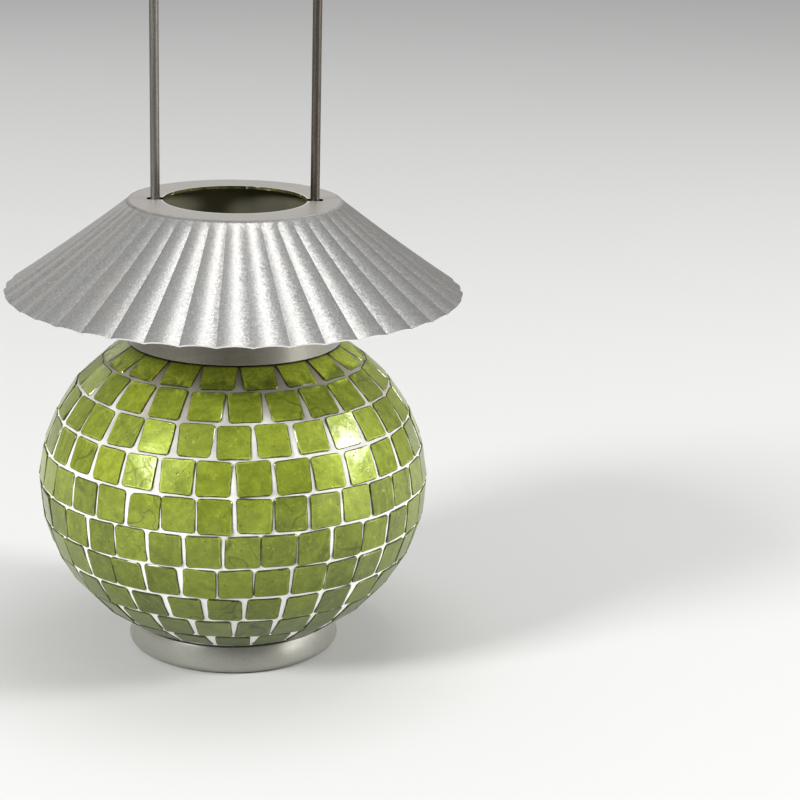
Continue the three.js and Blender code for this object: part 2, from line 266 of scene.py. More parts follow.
class Nodes:
    """A node tree that grows one node at a time."""

    def __init__(self, tree):
        self.tree = tree

    def add(self, kind, inputs=(), **settings):
        node = self.tree.nodes.new("ShaderNode" + kind)
        for key, value in settings.items():
            setattr(node, key, value)
        for socket, value in dict(inputs).items():
            if isinstance(value, bpy.types.NodeSocket):
                self.tree.links.new(value, node.inputs[socket])
            else:
                node.inputs[socket].default_value = value
        return node

    def sides(self, place):
        """A place's X, Y and Z."""
        return self.add("SeparateXYZ", {"Vector": place}).outputs

    def spread(self, value, low, high, to_low=0.0, to_high=1.0, way="LINEAR"):
        """The value's range from low to high, spread over another range."""
        inputs = {0: value, 1: low, 2: high, 3: to_low, 4: to_high}
        return self.add("MapRange", inputs, interpolation_type=way).outputs[0]

    def math(self, operation, a, b=0.0):
        return self.add("Math", {0: a, 1: b}, operation=operation).outputs[0]

    def times(self, a, b):
        return self.math("MULTIPLY", a, b)

    def plus(self, a, b):
        return self.math("ADD", a, b)

    def distance(self, a, b):
        """How far apart two values are."""
        return self.math("ABSOLUTE", self.math("SUBTRACT", a, b))

    def blend(self, factor, a, b, blend_type="MIX"):
        """Two colours, mixed by the factor."""
        pair = {6: solid(a), 7: solid(b)}
        node = self.add("Mix", {0: factor, **pair}, data_type="RGBA", blend_type=blend_type)
        return node.outputs[2]


class Finish(Nodes):
    """A material whose nodes are added one by one round its Principled shader."""

    def __init__(self, name, **values):
        self.material = bpy.data.materials.new(name)
        self.material.use_nodes = True
        super().__init__(self.material.node_tree)
        self.shader = self.tree.nodes["Principled BSDF"]
        for socket, value in values.items():
            self.shader.inputs[socket.replace("_", " ")].default_value = value
        self.place = self.add("TexCoord").outputs["Object"]

    def noise(self, scale, detail=3, roughness=0.5, distortion=0, place=None):
        values = {"Scale": scale, "Detail": detail, "Roughness": roughness, "Distortion": distortion}
        values["Vector"] = place or self.place
        return self.add("TexNoise", values).outputs["Fac"]

    def cells(self, scale, place=None, output="Distance"):
        values = {"Scale": scale, "Vector": place or self.place}
        return self.add("TexVoronoi", values).outputs[output]

    def dots(self, scale, size, patches, threshold, place=None):
        """Small round dots with soft edges, in the patches where a noise passes the threshold."""
        dots = self.spread(self.cells(scale, place), *size, 1, 0)
        return self.times(dots, self.math("GREATER_THAN", self.noise(patches, 1, place=place), threshold))

    def scaled(self, scale, place=None):
        values = {"Vector": place or self.place, "Scale": scale}
        return self.add("Mapping", values).outputs["Vector"]

    def vector(self, operation, a, b):
        return self.add("VectorMath", {0: a, 1: b}, operation=operation).outputs[0]

    def attribute(self, name, output="Fac"):
        return self.add("Attribute", attribute_name=name).outputs[output]

    def bump(self, height, distance, strength=1.0, under=None):
        values = {"Height": height, "Distance": distance, "Strength": strength}
        if under:
            values["Normal"] = under
        return self.add("Bump", values).outputs["Normal"]

    def plug(self, **sockets):
        """Links values to the shader's own sockets."""
        for socket, value in sockets.items():
            self.tree.links.new(value, self.shader.inputs[socket.replace("_", " ")])
        return self.material


def solid(value):
    """A colour with its alpha, or a socket as it is."""
    return value if isinstance(value, bpy.types.NodeSocket) else (*value[:3], 1.0)


# ---- Globe ----


class Globe:
    """The upright section of the flattened ball, by distance along it from its top pole."""

    steps = 2000

    def __init__(self, settings):
        self.wide = settings.globe_radius
        self.tall = settings.globe_half_height
        foot_seat = 0.4 * MM
        rise = self.tall * math.sqrt(1 - (FOOT_TOP_RADIUS / self.wide) ** 2)
        self.centre = FOOT_HIGH.z + foot_seat + rise
        self.angles = [math.pi / 2 - math.pi * i / self.steps for i in range(self.steps + 1)]
        self.lengths = [0.0]
        for a, b in zip(self.angles, self.angles[1:]):
            across = self.wide * (math.cos(a) - math.cos(b))
            up = self.tall * (math.sin(a) - math.sin(b))
            self.lengths.append(self.lengths[-1] + math.hypot(across, up))

    def angle_at(self, distance):
        for i, so_far in enumerate(self.lengths):
            if so_far >= distance:
                return self.angles[i]
        return self.angles[-1]

    def distance_at_radius(self, radius, upper):
        angle = math.acos(radius / self.wide) * (1 if upper else -1)
        return self.lengths[min(range(self.steps + 1), key=lambda i: abs(self.angles[i] - angle))]

    def normal(self, angle):
        across = math.cos(angle) / self.wide
        up = math.sin(angle) / self.tall
        size = math.hypot(across, up)
        return across / size, up / size

    def point(self, angle, depth):
        """(radius, height) of a point a depth inside the surface."""
        across, up = self.normal(angle)
        radius = self.wide * math.cos(angle) - across * depth
        return radius, self.centre + self.tall * math.sin(angle) - up * depth

    def section(self, begin, end, depth, steps):
        """Points from one angle to another, a depth inside the surface."""
        return [self.point(begin + (end - begin) * i / steps, depth) for i in range(steps + 1)]


# Number of tiles in each row from the top, and the degrees from the front at which one of them is centred
ROW_TILES = (19, 24, 28, 31, 34, 34, 33, 29, 25, 20)
ROW_TURNS = (11.5, 4, 0, 6, 5.5, 2, 0.5, -3, 7, -0.5)


def tile_master(settings):
    """One tile lying on its back about the origin, the edge of its face at height 0."""
    start()
    size, thick, chamfer = settings.tile_size, settings.tile_thickness, settings.tile_chamfer
    body = thick - chamfer
    crown_share = 0.6
    bpy.ops.mesh.primitive_cube_add(
        size=1, location=(0, 0, -chamfer - body / 2), scale=(size, size, body)
    )
    tile = named("tile")
    edit(tile)
    pick(tile, "EDGE", lambda e: is_upright(e, body / 2))
    bpy.ops.mesh.bevel(offset=settings.tile_corner, segments=2, affect="EDGES")
    pick(tile, "EDGE", lambda e: e.calc_length() > size / 2)
    bpy.ops.mesh.subdivide(number_cuts=1)
    pick(tile, "FACE", lambda f: f.normal.z > 0.9)
    bpy.ops.mesh.inset(thickness=chamfer, depth=chamfer)
    rise = (0, 0, settings.tile_crown * crown_share)
    bpy.ops.mesh.extrude_region_move(TRANSFORM_OT_translate={"value": rise})
    bpy.ops.transform.resize(value=(crown_share, crown_share, 1), center_override=(0, 0, 0))
    bpy.ops.mesh.poke(offset=settings.tile_crown * (1 - crown_share))
    bpy.ops.object.mode_set(mode="OBJECT")
    for layer in list(tile.data.uv_layers):
        tile.data.uv_layers.remove(layer)
    face_map = tile.data.uv_layers.new(name="tile")
    for loop in tile.data.loops:
        co = tile.data.vertices[loop.vertex_index].co
        face_map.data[loop.index].uv = (co.x / size + 0.5, co.y / size + 0.5)
    tile.data.attributes.new("tone", "FLOAT_COLOR", "FACE")
    return tile


def warp(mesh, settings, chance):
    """Makes a tile as uneven as one snapped by hand: skewed, wavy, its corners nipped or sharp."""
    size = settings.tile_size
    skew, wave = 0.17 * MM, 0.007
    nip, broken_corner, broken_share = (-0.25, 0.35), (0.6, 1.3), 0.22
    corners = [(i, j) for i in (0, 1) for j in (0, 1)]
    steps = {
        corner: Vector((chance.uniform(-skew, skew), chance.uniform(-skew, skew)))
        for corner in corners
    }
    waves = [(count, chance.uniform(0, TURN), chance.uniform(0, wave)) for count in (3, 5, 7)]
    nips = {corner: chance.uniform(*nip) * MM for corner in corners}
    if chance.random() < broken_share:
        nips[chance.choice(corners)] = chance.uniform(*broken_corner) * MM
    for vertex in mesh.vertices:
        share = [min(max(value / size + 0.5, 0), 1) for value in vertex.co[:2]]
        around = math.atan2(vertex.co.y, vertex.co.x)
        wavy = 1 + sum(height * math.sin(count * around + phase) for count, phase, height in waves)
        move = Vector((0, 0))
        for corner in corners:
            near = math.prod(s if side else 1 - s for s, side in zip(share, corner))
            move += steps[corner] * near
            move += Vector((0.5 - corner[0], 0.5 - corner[1])) * nips[corner] * near**5
        vertex.co.x = vertex.co.x * wavy + move.x
        vertex.co.y = vertex.co.y * wavy + move.y


def glass_tile_finish(settings):
    """Stained glass, toned by each tile's own three random numbers and lined by its own face map."""
    finish = Finish(
        "stained_glass", IOR=1.5, Specular_IOR_Level=0.15, Metallic=0.3,
        Coat_Weight=0.55, Coat_Roughness=0.12, Coat_IOR=1.5,
    )
    tone = finish.attribute("tone", "Color")
    tones = finish.add("SeparateColor", {"Color": tone}).outputs
    place = finish.vector("ADD", finish.place, finish.vector("MULTIPLY", tone, (0.9, 0.7, 1.1)))
    height = finish.sides(finish.place)["Z"]

    # Depth of colour: its own for each tile, with soft clouds and streaks pulled through the glass
    clouds = finish.noise(170, 4, 0.55, 1.4, place)
    streaks = finish.noise(60, 2, 0.5, 3.0, finish.scaled((1, 4, 1), place))
    depth = finish.plus(finish.times(clouds, 0.55), finish.times(streaks, 0.45))
    depth = finish.plus(depth, finish.spread(tones[0], 0, 1, -0.14, 0.14))
    glass = finish.blend(finish.spread(depth, 0.25, 0.75), settings.glass_dark, settings.glass_light)

    # A hair crack in a few tiles, seeds and specks in all of them
    contour = finish.distance(finish.noise(75, 1, 0.4, 0.4, place), 0.5)
    cracked = finish.math("GREATER_THAN", tones[1], 0.74)
    cracks = finish.times(finish.spread(contour, 0.0, 0.012, 1, 0), cracked)
    specks = finish.dots(430, (0.05, 0.16), 110, 0.5, place)
    marks = finish.math("MAXIMUM", finish.times(cracks, 0.6), finish.times(specks, 0.8))
    frit = finish.noise(1100, 3, 0.7, 0.5, place)
    glass = finish.blend(finish.spread(frit, 0.35, 0.7, 0, 0.5), glass, (0.15, 0.19, 0.018))
    flecks = finish.spread(finish.noise(650, 4, 0.75, 1.0, place), 0.56, 0.70, 0, 0.6)
    glass = finish.blend(flecks, glass, (0.46, 0.52, 0.06))
    glass = finish.blend(marks, glass, (0.045, 0.06, 0.01))

    # Painted light: a lighter band just inside the ground edge, where light comes through the glass
    across = finish.sides(finish.add("UVMap", uv_map="tile").outputs["UV"])
    rim = finish.math("MAXIMUM", *[finish.distance(across[i], 0.5) for i in (0, 1)])
    rim = finish.plus(rim, finish.spread(finish.noise(420, 3, 0.6), 0.3, 0.7, -0.018, 0.018))
    lit = finish.times(finish.spread(rim, 0.42, 0.455), finish.spread(finish.noise(150, 1), 0.5, 0.7))
    glass = finish.blend(finish.times(lit, 0.55), glass, (0.50, 0.60, 0.14))

    # Painted shade: the glass is darkened low on the globe, where less light gets inside, so it looks
    # deeper there
    low = finish.spread(height, 12 * MM, 62 * MM, 0.95, 0)
    glass = finish.blend(low, glass, (0.36, 0.41, 0.33), "MULTIPLY")

    # Painted light: the topmost row is patchy, brighter towards its upper edge
    row_bottom = 90.3 * MM
    climb = finish.spread(height, row_bottom + 2.2 * MM, row_bottom + 6.2 * MM, -0.10, 0.15)
    patchy = finish.plus(finish.noise(170, 4, 0.6, 0.7, place), climb)
    painted_top_glass = finish.blend(finish.spread(patchy, 0.40, 0.58), (0.18, 0.235, 0.028), (0.66, 0.78, 0.07))
    painted_top_glass = finish.blend(finish.spread(frit, 0.35, 0.65, 0, 0.5), painted_top_glass, (0.13, 0.17, 0.015))
    top_row = finish.spread(height, row_bottom, row_bottom + 1.2 * MM)
    glass = finish.blend(finish.times(top_row, 0.85), glass, painted_top_glass)

    # Painted shade: the ground edge is darkened, and a painted shadow lies in the corner under the collar
    glass = finish.blend(finish.spread(rim, 0.465, 0.485, 0, 0.85), glass, (0.03, 0.035, 0.012))
    corner = finish.spread(height, COLLAR_LOW.z - 0.75 * MM, COLLAR_LOW.z - 0.35 * MM)
    glass = finish.blend(corner, glass, (0.02, 0.02, 0.01))

    normal = finish.bump(finish.noise(110, 1, place=place), 0.35 * MM, 0.5)
    normal = finish.bump(finish.noise(260, distortion=0.6, place=place), 0.09 * MM, 0.7, normal)
    normal = finish.bump(frit, 0.012 * MM, 0.6, normal)
    normal = finish.bump(specks, -0.04 * MM, 0.8, normal)
    roughness = finish.spread(clouds, 0.3, 0.7, 0.32, 0.42)
    return finish.plug(Base_Color=glass, Roughness=roughness, Normal=normal, Coat_Normal=normal)


class LANTERN_OT_tiles(bpy.types.Operator):
    """Adds the ten rows of glass tiles"""

    bl_idname = "lantern.tiles"
    bl_label = "Glass Tiles"

    def execute(self, context):
        settings = context.scene.lantern_mosaic
        chance = random.Random(settings.seed)
        globe = Globe(settings)
        under_collar, past_foot = 1.7 * MM, 2 * MM
        top = globe.distance_at_radius(COLLAR_HIGH.x - under_collar, upper=True)
        bottom = globe.distance_at_radius(FOOT_TOP_RADIUS + past_foot, upper=False)
        pitch = (bottom - top) / len(ROW_TILES)
        glass = glass_tile_finish(settings)
        master = tile_master(settings)
        for row, (count, turn) in enumerate(zip(ROW_TILES, ROW_TURNS)):
            angle = globe.angle_at(top + pitch * (row + 0.5))
            around = [math.radians(turn) + TURN * i / count for i in range(count)]
            copies = [self.tile(context, globe, master, angle, way, chance) for way in around]
            start()
            for copy in copies:
                copy.select_set(True)
            context.view_layer.objects.active = copies[0]
            bpy.ops.object.join()
            piece = named(f"tiles_{row + 1:02d}")
            smooth(piece, degrees=32)
            finish_piece(piece, glass, "lantern", "green_glass", f"tile_row_{row + 1:02d}")
        bpy.data.objects.remove(master)
        return {"FINISHED"}

    @staticmethod
    def tile(context, globe, master, angle, around, chance):
        """A copy of the master, set on the globe a little unevenly, with its own three random tones."""
        settings = context.scene.lantern_mosaic
        copy = bpy.data.objects.new("tile_copy", master.data.copy())
        context.collection.objects.link(copy)
        warp(copy.data, settings, chance)
        around += math.radians(chance.uniform(-0.35, 0.35))
        slide = chance.uniform(-0.12, 0.12) * MM
        sink = chance.uniform(-0.05, 0.05) * MM
        # x runs round the row, y up it and z out of the globe, with the front at -Y
        across, up = globe.normal(angle)
        out = Vector((across * math.sin(around), -across * math.cos(around), up))
        east = Vector((math.cos(around), math.sin(around), 0))
        basis = Matrix((east, out.cross(east), out)).transposed().to_4x4()
        radius, height = globe.point(angle, settings.face_depth)
        place = Vector((radius * math.sin(around), -radius * math.cos(around), height))
        tilt, lean, twist = [
            Matrix.Rotation(math.radians(chance.gauss(0, spread)), 4, axis)
            for spread, axis in ((1.0, "X"), (1.0, "Y"), (0.9, "Z"))
        ]
        grow = Matrix.Diagonal((chance.uniform(0.975, 1.015), chance.uniform(0.975, 1.005), 1, 1))
        local = Matrix.Translation((0, slide, -sink)) @ twist @ tilt @ lean @ grow
        copy.data.transform(Matrix.Translation(place) @ basis @ local)
        tone = (chance.random(), chance.random(), chance.random(), 1.0)
        copy.data.attributes["tone"].data.foreach_set("color", tone * len(copy.data.polygons))
        return copy


def grout_finish(settings):
    """Fine sandy grout, white low on the globe and darker towards the collar with dust and painted shade,
    with a painted shadow under the collar's edge.
    """
    finish = Finish("grout", Specular_IOR_Level=0.3)
    sand = finish.noise(2600, 3, 0.6)
    patches = finish.noise(70, 3, 0.55)
    pits = finish.dots(900, (0.06, 0.2), 200, 0.6)
    tint = finish.blend(finish.spread(patches, 0.35, 0.7, 0, 0.6), settings.grout_color, (0.80, 0.77, 0.73))
    tint = finish.blend(finish.spread(sand, 0.35, 0.75, 0, 0.25), tint, (0.66, 0.64, 0.60))
    tint = finish.blend(finish.times(pits, 0.6), tint, (0.25, 0.23, 0.2))
    height = finish.sides(finish.place)["Z"]
    # Dust and painted shade darken the grout towards the collar
    dust_and_shade = finish.plus(height, finish.spread(patches, 0.3, 0.7, -6 * MM, 6 * MM))
    tint = finish.blend(finish.spread(dust_and_shade, 50 * MM, 98 * MM, 0, 0.78), tint, (0.40, 0.365, 0.315))
    tint = finish.blend(finish.spread(dust_and_shade, 78 * MM, 92 * MM, 0, 0.8), tint, (0.22, 0.19, 0.155))
    # Painted shadow in the corner under the collar's edge
    corner = finish.spread(height, COLLAR_LOW.z - 1.1 * MM, COLLAR_LOW.z - 0.5 * MM)
    tint = finish.blend(corner, tint, (0.05, 0.04, 0.035))
    rough = finish.spread(sand, 0.3, 0.7, 0.75, 0.95)
    normal = finish.bump(sand, 0.06 * MM, 0.8)
    return finish.plug(Base_Color=tint, Roughness=rough, Normal=normal)


class LANTERN_OT_grout(bpy.types.Operator):
    """Adds the grout between the tiles"""

    bl_idname = "lantern.grout"
    bl_label = "Grout"

    def execute(self, context):
        settings = context.scene.lantern_mosaic
        globe = Globe(settings)
        top_radius = COLLAR_HIGH.x - 2.9 * MM
        bottom_radius = FOOT_HIGH.x - 1.1 * MM
        back_depth = 2.85 * MM
        first = math.acos(top_radius / globe.wide)
        last = -math.acos(bottom_radius / globe.wide)
        outer = globe.section(first, last, settings.grout_depth, steps=150)
        back = globe.section(first, last, back_depth, steps=30)
        outline = [*reversed(outer), *back]
        piece = spun("grout", [*outline, outline[0]], columns=360)
        skin = piece.vertex_groups.new(name="skin")
        outside = [v.index for v in piece.data.vertices if self.outside(globe, v.co, settings)]
        skin.add(outside, 1.0, "REPLACE")
        lumps = bpy.data.textures.new("lumps", "CLOUDS")
        lumps.noise_scale = 1.6 * MM
        lumps.noise_depth = 2
        modify(
            piece, "DISPLACE", texture=lumps, strength=settings.grout_relief, mid_level=0.5,
            vertex_group="skin", texture_coords="LOCAL",
        )
        smooth(piece, degrees=40)
        finish_piece(piece, grout_finish(settings), "lantern", "grout", "grout_coat")
        return {"FINISHED"}

    @staticmethod
    def outside(globe, co, settings):
        """Whether a point is on the grout's outer side, not its back."""
        level = math.hypot(off_axis(co) / globe.wide, (co.z - globe.centre) / globe.tall)
        return level > 1 - 2 * settings.grout_depth / globe.tall


def clear_glass_finish():
    finish = Finish("clear_glass", IOR=1.5, Transmission_Weight=0.85, Roughness=0.06)
    ripples = finish.noise(40, 2)
    tint = finish.blend(finish.noise(15, 2), (0.80, 0.88, 0.76), (0.90, 0.95, 0.87))
    return finish.plug(Base_Color=tint, Normal=finish.bump(ripples, 0.5 * MM, 0.3))


class LANTERN_OT_bowl(bpy.types.Operator):
    """Adds the glass bowl that carries the tiles"""

    bl_idname = "lantern.bowl"
    bl_label = "Glass Bowl"

    def execute(self, context):
        settings = context.scene.lantern_mosaic
        globe = Globe(settings)
        wall = 2.6 * MM
        face = 3.15 * MM
        mouth = CUP_HIGH.x + 4.8 * MM
        underside = 12 * MM
        floor = CUP_HIGH.x + 1.5 * MM
        lip_rise = 2.2 * MM
        lip_angle = math.acos((mouth + wall) / (globe.wide - face))
        low_angle = -math.acos(underside / (globe.wide - face))
        top_angle = math.acos(mouth / (globe.wide - face - wall))
        floor_angle = -math.acos(floor / (globe.wide - face - wall))
        outside = globe.section(low_angle, lip_angle, face, steps=44)
        lip = arc(mouth + wall / 2, outside[-1][1] + lip_rise, wall / 2 - 0.1 * MM, 0, 180, steps=10)
        inside = globe.section(top_angle, floor_angle, face + wall, steps=44)
        outline = [(0, outside[0][1]), *outside, *lip, *inside, (0, inside[-1][1])]
        piece = spun("bowl", outline, columns=128)
        smooth(piece, degrees=40)
        finish_piece(piece, clear_glass_finish(), "lantern", "clear_glass", "glass_bowl")
        return {"FINISHED"}


# ---- Foot ring and collar ----


def satin_metal_finish(settings, name, strength, metallic, roughness, painted_light_and_shade=False):
    """Satin spun metal, duller and browner at a strength under 1, which paints shade on the collar under
    the shade. Faces marked inside get painted olive shade and reflection, lighter near the rim.
    """
    finish = Finish(name)
    shade_dimming = (strength, strength**1.06, strength**1.18)
    color, brown, bright = [
        tuple(value * share for value, share in zip(tint, shade_dimming))
        for tint in (settings.satin_color, (0.27, 0.25, 0.22), (0.40, 0.395, 0.36))
    ]
    lines = finish.noise(900, 2, place=finish.scaled((0.12, 0.12, 1)))
    grain = finish.noise(1600, 4, 0.7)
    stains = finish.noise(55, 3, 0.6)
    tint = finish.blend(finish.spread(stains, 0.35, 0.7, 0, 0.6), color, brown)
    tint = finish.blend(finish.spread(grain, 0.3, 0.7, 0, 0.5), tint, bright)
    # Painted olive shade and reflection of the green glass on the inside faces, lighter near the rim
    inside = finish.attribute("inside")
    sides = finish.sides(finish.place)
    climb = finish.spread(sides["Z"], COLLAR_HIGH.z - 4 * MM, COLLAR_HIGH.z)
    painted_inside_light = finish.blend(climb, (0.15, 0.143, 0.097), (0.22, 0.22, 0.095))
    if painted_light_and_shade:
        # Painted shade in the middle and painted light to the right, and the other way round inside
        along = sides["X"]
        middle = finish.distance(along, -3 * MM)
        tint = finish.blend(finish.spread(middle, 0, 24 * MM, 0.6, 0.1), tint, (0.085, 0.07, 0.055))
        tint = finish.blend(finish.spread(along, 4 * MM, 30 * MM, 0, 0.5), tint, (0.55, 0.53, 0.48))
        pale = finish.distance(along, -5.5 * MM)
        painted_inside_light = finish.blend(finish.spread(pale, 2 * MM, 11 * MM, 0.7, 0), painted_inside_light, (0.31, 0.29, 0.185))
        painted_inside_light = finish.blend(finish.spread(along, 3 * MM, 15 * MM, 0, 0.4), painted_inside_light, (0.07, 0.064, 0.042))
    tint = finish.blend(inside, tint, painted_inside_light)
    rough = finish.spread(stains, 0.3, 0.7, roughness - 0.05, roughness + 0.05)
    rough = finish.plus(rough, finish.spread(lines, 0.3, 0.7, -0.03, 0.03))
    rough = finish.plus(rough, finish.times(inside, 0.25))
    normal = finish.bump(grain, 0.03 * MM, 0.6)
    normal = finish.bump(lines, 0.015 * MM, 0.4, normal)
    shine = finish.spread(inside, 0, 1, metallic, 0.25)
    return finish.plug(Base_Color=tint, Roughness=rough, Normal=normal, Metallic=shine)


class LANTERN_OT_foot(bpy.types.Operator):
    """Adds the foot ring"""

    bl_idname = "lantern.foot"
    bl_label = "Foot Ring"

    def execute(self, context):
        radius, height = FOOT_HIGH.x, FOOT_HIGH.z
        sheet, flange, edge, lip = 1.2 * MM, 7 * MM, 2.0 * MM, 0.15 * MM
        outline = [
            (radius - flange, 0),
            *arc(radius - edge, edge, edge, -90, 0, steps=8),
            *arc(FOOT_TOP_RADIUS - lip, height - lip, lip, 10, 90, steps=2),
            (FOOT_TOP_RADIUS - sheet, height),
            (radius - sheet, edge),
            *arc(radius - edge, edge, edge - sheet, 0, -90, steps=4),
            (radius - flange, sheet),
        ]
        piece = spun("foot_ring", [*outline, outline[0]], columns=160)
        smooth(piece, degrees=35)
        metal = satin_metal_finish(context.scene.lantern_metal, "satin_foot", 1.0, 0.55, 0.35)
        finish_piece(piece, metal, "lantern", "satin_metal", "base_ring")
        return {"FINISHED"}


def collar_wall(inset):
    """The collar's outline from its lower edge to its rim, moved in by the inset."""
    steps = 14
    band, neck_height, taper = 6.5 * MM, 22 * MM, 0.4 * MM
    flare, edge_slant = 4.8 * MM, 0.57
    neck = COLLAR_HIGH.x - flare
    band_top = COLLAR_LOW.z + band
    climb = COLLAR_HIGH.z - neck_height - band_top
    points = [(COLLAR_HIGH.x - inset, COLLAR_LOW.z + inset * edge_slant)]
    for i in range(steps + 1):
        bulge = (1 + math.cos(math.pi * i / steps)) / 2
        points.append((neck + (flare - taper) * bulge - inset, band_top + climb * i / steps))
    return [*points, (neck - inset, COLLAR_HIGH.z)]


class LANTERN_OT_collar(bpy.types.Operator):
    """Adds the collar with its two holes for the bail"""

    bl_idname = "lantern.collar"
    bl_label = "Collar"

    def execute(self, context):
        settings = context.scene.lantern_metal
        sheet = 1.0 * MM
        outline = [*collar_wall(0), *reversed(collar_wall(sheet))]
        piece = spun("collar", [*outline, outline[0]], columns=160)
        start()
        hole = settings.wire_radius + WIRE_PLAY
        bpy.ops.mesh.primitive_cylinder_add(
            vertices=32, radius=hole, depth=4 * COLLAR_HIGH.x,
            location=(0, 0, BAIL_PIVOT), rotation=(0, math.pi / 2, 0),
        )
        drill = named("drill")
        modify(piece, "BOOLEAN", object=drill, operation="DIFFERENCE", solver="EXACT")
        bpy.data.objects.remove(drill)
        smooth(piece, degrees=35)
        mark_faces(piece, "inside", lambda f: outwardness(f) < -0.35)
        # The collar's satin metal is darkened as painted shade under the shade, with painted light and
        # shade on its sides
        metal = satin_metal_finish(settings, "satin_collar", 0.60, 0.95, 0.28, painted_light_and_shade=True)
        finish_piece(piece, metal, "lantern", "satin_metal", "collar")
        return {"FINISHED"}


# ---- Shade ----


def silver_paint_finish(settings, opening, step_radius):
    """Silver paint with a fine grain, with painted light and shade by distance from the axis and by the
    marks on the shade's faces.
    """
    finish = Finish("silver_paint", Metallic=0.85)
    flakes = finish.cells(2300, output="Color")
    flake = finish.add("SeparateColor", {"Color": flakes}).outputs[0]
    grain = finish.noise(1500, 4, 0.8)
    patches = finish.noise(45, 3, 0.6)
    tint = finish.blend(finish.spread(flake, 0.3, 1, 0, 0.6), settings.paint_color, (0.23, 0.23, 0.225))
    tint = finish.blend(finish.spread(grain, 0.5, 0.68, 0, 0.6), tint, (0.62, 0.61, 0.59))
    tint = finish.blend(finish.spread(patches, 0.4, 0.75, 0, 0.4), tint, (0.40, 0.38, 0.35))
    pins = finish.dots(480, (0.05, 0.16), 140, 0.58)
    tint = finish.blend(finish.times(pins, 0.7), tint, (0.09, 0.085, 0.08))

    # Painted light: a lighter, warmer flat top and a painted highlight round the opening; painted shade,
    # patchy, in the step under the flat top
    radius = finish.add("VectorMath", {0: finish.scaled((1, 1, 0))}, operation="LENGTH").outputs["Value"]
    flat_top = finish.spread(radius, step_radius - MM, step_radius, 0.8, 0)
    tint = finish.blend(flat_top, tint, (0.72, 0.69, 0.66))
    edge = finish.spread(radius, opening + 0.3 * MM, opening + 0.8 * MM, 0.9, 0)
    tint = finish.blend(edge, tint, (1.0, 0.98, 0.95))
    off_step = finish.distance(radius, step_radius - 0.1 * MM)
    in_step = finish.spread(off_step, 0.2 * MM, 0.45 * MM, 1, 0)
    painted_step_shade = finish.times(in_step, finish.spread(patches, 0.35, 0.65, 0.15, 0.5))
    tint = finish.blend(painted_step_shade, tint, (0.10, 0.098, 0.09))

    # A near-white rim as a painted glint, a painted dark olive reflection in the opening's edge with
    # painted glints on it, and painted shadow on the cut walls in the slots
    opening_reflection = finish.attribute("opening_reflection")
    tint = finish.blend(finish.attribute("rim_glint"), tint, (0.93, 0.93, 0.91))
    streaky = finish.spread(finish.noise(260, 3, 0.6), 0.35, 0.65)
    tint = finish.blend(opening_reflection, tint, finish.blend(streaky, (0.07, 0.07, 0.035), (0.26, 0.265, 0.08)))
    tint = finish.blend(finish.attribute("cut"), tint, (0.02, 0.02, 0.018))
    painted_glints = finish.spread(finish.noise(420, 2, 0.5), 0.60, 0.66)
    tint = finish.blend(finish.times(opening_reflection, painted_glints), tint, (0.95, 0.94, 0.86))

    rough = finish.spread(grain, 0.3, 0.7, 0.31, 0.45)
    rough = finish.math("MAXIMUM", rough, finish.times(in_step, 0.9))
    # Each flake leans its own way
    lean = finish.vector("SUBTRACT", flakes, (0.5, 0.5, 0.5))
    lean = finish.add("VectorMath", {0: lean, "Scale": 0.10}, operation="SCALE").outputs[0]
    normal = finish.vector("ADD", finish.bump(grain, 0.045 * MM, 0.6), lean)
    normal = finish.add("VectorMath", {0: normal}, operation="NORMALIZE").outputs[0]
    return finish.plug(Base_Color=tint, Roughness=rough, Normal=normal)


class Skirt:
    """The shade's scalloped cone, from a small step under the flat top down to the rim."""

    step, step_width = 0.45 * MM, 0.35 * MM
    rim_drop = 27.45 * MM
    flare = 0.07
    # Places down the skirt that have a ring of vertices, closest below the step
    shares = [0, 0.03, 0.08, *[0.08 + 0.92 * i / 10 for i in range(1, 11)]]
    # Columns round each scallop: a crease with a narrow root, then the bulge between two creases
    columns = 12

    def __init__(self, settings, flat_edge):
        self.rim = SHADE_HIGH.y
        self.top_radius = flat_edge + self.step_width
        self.drop = self.rim_drop - self.step
        self.slope = math.atan2(self.drop, self.rim - self.top_radius)
        self.apex = SHADE_HIGH.z - self.step + self.top_radius * math.tan(self.slope)
        self.cell = TURN / (settings.scallops * self.columns)
        self.rise = settings.scallop_rise

    def point(self, share):
        """(radius, height) a share of the way down."""
        fallen = share + self.flare * share * (1 - share)
        radius = self.top_radius + (self.rim - self.top_radius) * share
        return radius, SHADE_HIGH.z - self.step - self.drop * fallen

    def scallop(self, piece):
        """Sinks each column of every scallop by its own depth, and the ring below the step by less."""
        for column in range(self.columns):
            across = abs(2 * column / self.columns - 1)
            for shares, strength in ((self.shares[1:2], 0.6), (self.shares[2:], 1.0)):
                depth = across**2 * strength
                if depth > 0:
                    self.sink(piece, column, shares, depth)

    def sink(self, piece, column, shares, depth):
        """Sinks one column of every scallop towards the inside, square to the skirt."""
        first, last = [self.point(share)[0] for share in (shares[0], shares[-1])]
        margin, already_sunk = 0.01 * MM, 0.98

        def in_column(vertex):
            spot = round(math.atan2(vertex.co.y, vertex.co.x) / self.cell)
            reached = first * already_sunk - margin < off_axis(vertex.co) < last + margin
            return reached and spot % self.columns == column

        pick(piece, "VERT", in_column)
        rise = self.rise * depth / self.rim
        inward = 1 - rise * math.sin(self.slope)
        down = 1 + rise * math.cos(self.slope) / math.tan(self.slope)
        bpy.ops.transform.resize(value=(inward, inward, down), center_override=(0, 0, self.apex))


